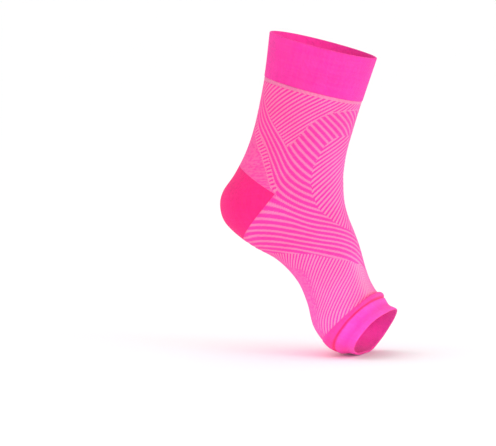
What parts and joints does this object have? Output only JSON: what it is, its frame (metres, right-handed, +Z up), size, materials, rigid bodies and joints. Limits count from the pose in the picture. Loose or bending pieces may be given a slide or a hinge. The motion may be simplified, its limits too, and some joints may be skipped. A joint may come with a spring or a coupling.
{
  "type": "ankle compression sleeve",
  "caption": "Open-toed knitted compression ankle sleeve in its worn shape: a plain doubled cuff, a striped leg and instep, a plain heel pocket and a plain toe band.",
  "frame": {"origin": "middle of the ankle inside the sleeve, between the ankle bones, where the foot holds it", "axes": "+X towards the toes, +Y towards the outer side of the ankle, +Z up"},
  "size_m": [0.1544, 0.0955, 0.2733],
  "materials": {
    "plain_yarn": "plain hot pink knit",
    "pale_yarn": "pale pink linking course",
    "striped_knit": "hot pink ribs on pale pink ground",
    "heel_yarn": "plain deep pink knit"
  },
  "bodies": {
    "root": {"cuff": "plain_yarn", "cuff_join": "pale_yarn", "knit_body": "striped_knit", "heel_pocket": "heel_yarn", "toe_band": "plain_yarn"}
  },
  "joints": []
}
